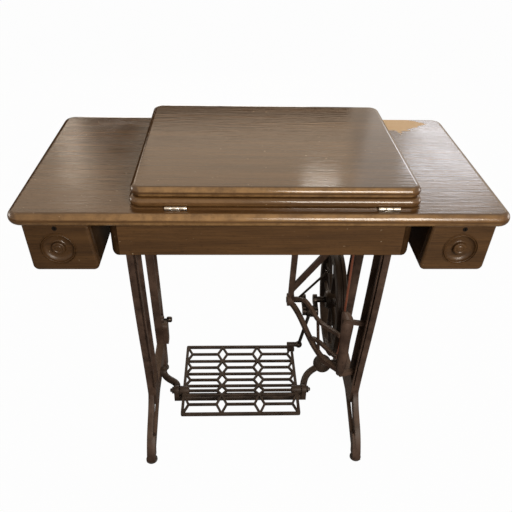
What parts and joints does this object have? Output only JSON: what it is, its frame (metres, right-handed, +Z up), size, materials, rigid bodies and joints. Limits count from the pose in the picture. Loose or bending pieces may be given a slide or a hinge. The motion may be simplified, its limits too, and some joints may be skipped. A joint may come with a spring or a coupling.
{
  "type": "treadle sewing machine",
  "caption": "Treadle sewing machine with closed lid: wooden table with drawers on cast-iron frames, lattice treadle, crank, flywheel and belt, and the head folded into the well.",
  "frame": {"origin": "on the floor under the middle of the table", "axes": "+X to the right along the table, +Y to the back, +Z up"},
  "size_m": [0.91, 0.48, 0.7726],
  "materials": {
    "lacquered_wood": "gloss",
    "plain_wood": "satin",
    "brown_enamel": "satin enamel",
    "black_japan": "gloss",
    "dark_steel": "oiled",
    "bright_steel": "polished",
    "nickel_plate": "polished",
    "bronze_bush": "turned",
    "belt_leather": "worn",
    "glide_plastic": "matte"
  },
  "bodies": {
    "stand": {"tabletop": "lacquered_wood", "apron": "lacquered_wood", "back_board": "lacquered_wood", "side_board_left": "lacquered_wood", "side_board_right": "lacquered_wood", "drawer_case_left": "lacquered_wood", "drawer_case_right": "lacquered_wood", "hinge_table_leaves": "bright_steel", "hinge_pins": "bright_steel", "frame_left": "brown_enamel", "frame_right": "brown_enamel", "foot_glides": "glide_plastic", "frame_screws": "dark_steel", "frame_bolts": "dark_steel", "tie_bar": "brown_enamel", "lock_knob": "dark_steel", "cross_bar": "brown_enamel", "pivot_screws": "dark_steel", "shaft_bushes": "bronze_bush", "wheel_hanger": "brown_enamel", "guard_bracket": "brown_enamel", "belt_guide": "dark_steel", "belt": "belt_leather", "head_bed": "black_japan", "head_arm": "black_japan", "face_plate": "nickel_plate", "spool_pins": "bright_steel", "needle_plate": "nickel_plate", "feed_dog": "bright_steel", "shuttle_race": "bright_steel", "head_hinges": "bright_steel"},
    "lid": {"lid_lower_board": "lacquered_wood", "lid_upper_board": "lacquered_wood", "hinge_lid_leaves": "bright_steel"},
    "left_drawer": {"drawer_box_left": "plain_wood", "drawer_front_left": "lacquered_wood", "drawer_pull_left": "lacquered_wood", "drawer_lock_left": "dark_steel"},
    "right_drawer": {"drawer_box_right": "plain_wood", "drawer_front_right": "lacquered_wood", "drawer_pull_right": "lacquered_wood", "drawer_lock_right": "dark_steel"},
    "treadle": {"treadle": "brown_enamel"},
    "flywheel": {"flywheel": "brown_enamel", "crankshaft": "dark_steel"},
    "pitman": {"pitman_rod": "dark_steel"},
    "handwheel": {"arm_shaft": "bright_steel", "handwheel": "black_japan", "clutch_knob": "nickel_plate"},
    "needle_bar": {"needle_bar": "bright_steel", "needle": "bright_steel"},
    "presser": {"presser_bar": "bright_steel", "presser_foot": "bright_steel"},
    "presser_lever": {"presser_lever": "nickel_plate"},
    "take_up": {"take_up_lever": "nickel_plate"},
    "tension_dial": {"tension_dial": "nickel_plate"},
    "stitch_lever": {"stitch_lever": "nickel_plate"},
    "slide_plate": {"slide_plate": "nickel_plate"},
    "hook": {"shuttle_hook": "bright_steel"}
  },
  "joints": [
    {"name": "lid_hinge", "type": "hinge", "parent": "stand", "child": "lid", "pos_m": [0, -0.2195, 0.7356], "axis": [1, 0, 0], "range_deg": [0, 95]},
    {"name": "left_drawer_slide", "type": "slide", "parent": "stand", "child": "left_drawer", "axis": [0, -1, 0], "range_m": [0, 0.26]},
    {"name": "right_drawer_slide", "type": "slide", "parent": "stand", "child": "right_drawer", "axis": [0, -1, 0], "range_m": [0, 0.26]},
    {"name": "treadle_rock", "type": "hinge", "parent": "stand", "child": "treadle", "pos_m": [0, -0.055, 0.1], "axis": [1, 0, 0], "range_deg": [-8.5, 17.5]},
    {"name": "flywheel_spin", "type": "hinge", "parent": "stand", "child": "flywheel", "pos_m": [0, 0.084, 0.29], "axis": [1, 0, 0], "continuous": true},
    {"name": "pitman_swing", "type": "hinge", "parent": "flywheel", "child": "pitman", "pos_m": [0, 0.05017, 0.27769], "axis": [1, 0, 0], "continuous": true},
    {"name": "handwheel_spin", "type": "hinge", "parent": "stand", "child": "handwheel", "pos_m": [0, -0.038, 0.621], "axis": [1, 0, 0], "continuous": true},
    {"name": "needle_bar_slide", "type": "slide", "parent": "stand", "child": "needle_bar", "axis": [0, 1, 0], "range_m": [-0.012, 0.016]},
    {"name": "presser_lever_turn", "type": "hinge", "parent": "stand", "child": "presser_lever", "pos_m": [-0.125, 0.038, 0.66], "axis": [0, 0, 1], "range_deg": [0, 86]},
    {"name": "presser_lift", "type": "slide", "parent": "stand", "child": "presser", "axis": [0, -1, 0], "range_m": [0, 0.006]},
    {"name": "take_up_swing", "type": "hinge", "parent": "stand", "child": "take_up", "pos_m": [-0.159, -0.036, 0.635], "axis": [1, 0, 0], "range_deg": [-20, 20]},
    {"name": "tension_turn", "type": "hinge", "parent": "stand", "child": "tension_dial", "pos_m": [-0.159, 0.024, 0.595], "axis": [-1, 0, 0], "range_deg": [-150, 150]},
    {"name": "stitch_lever_swing", "type": "hinge", "parent": "stand", "child": "stitch_lever", "pos_m": [0.136, 0.072, 0.582], "axis": [0, 0, -1], "range_deg": [-20, 20]},
    {"name": "slide_plate_slide", "type": "slide", "parent": "stand", "child": "slide_plate", "axis": [-1, 0, 0], "range_m": [0, 0.035]},
    {"name": "hook_rock", "type": "hinge", "parent": "stand", "child": "hook", "pos_m": [-0.125, 0.172, 0.621], "axis": [1, 0, 0], "range_deg": [-35, 35]}
  ],
  "couplings": [
    {"joint": "pitman_swing", "follows": "flywheel_spin", "ratio": -1},
    {"joint": "handwheel_spin", "follows": "flywheel_spin", "ratio": 3.5},
    {"joint": "presser_lever_turn", "follows": "presser_lift", "rad_per_m": 247.25}
  ]
}
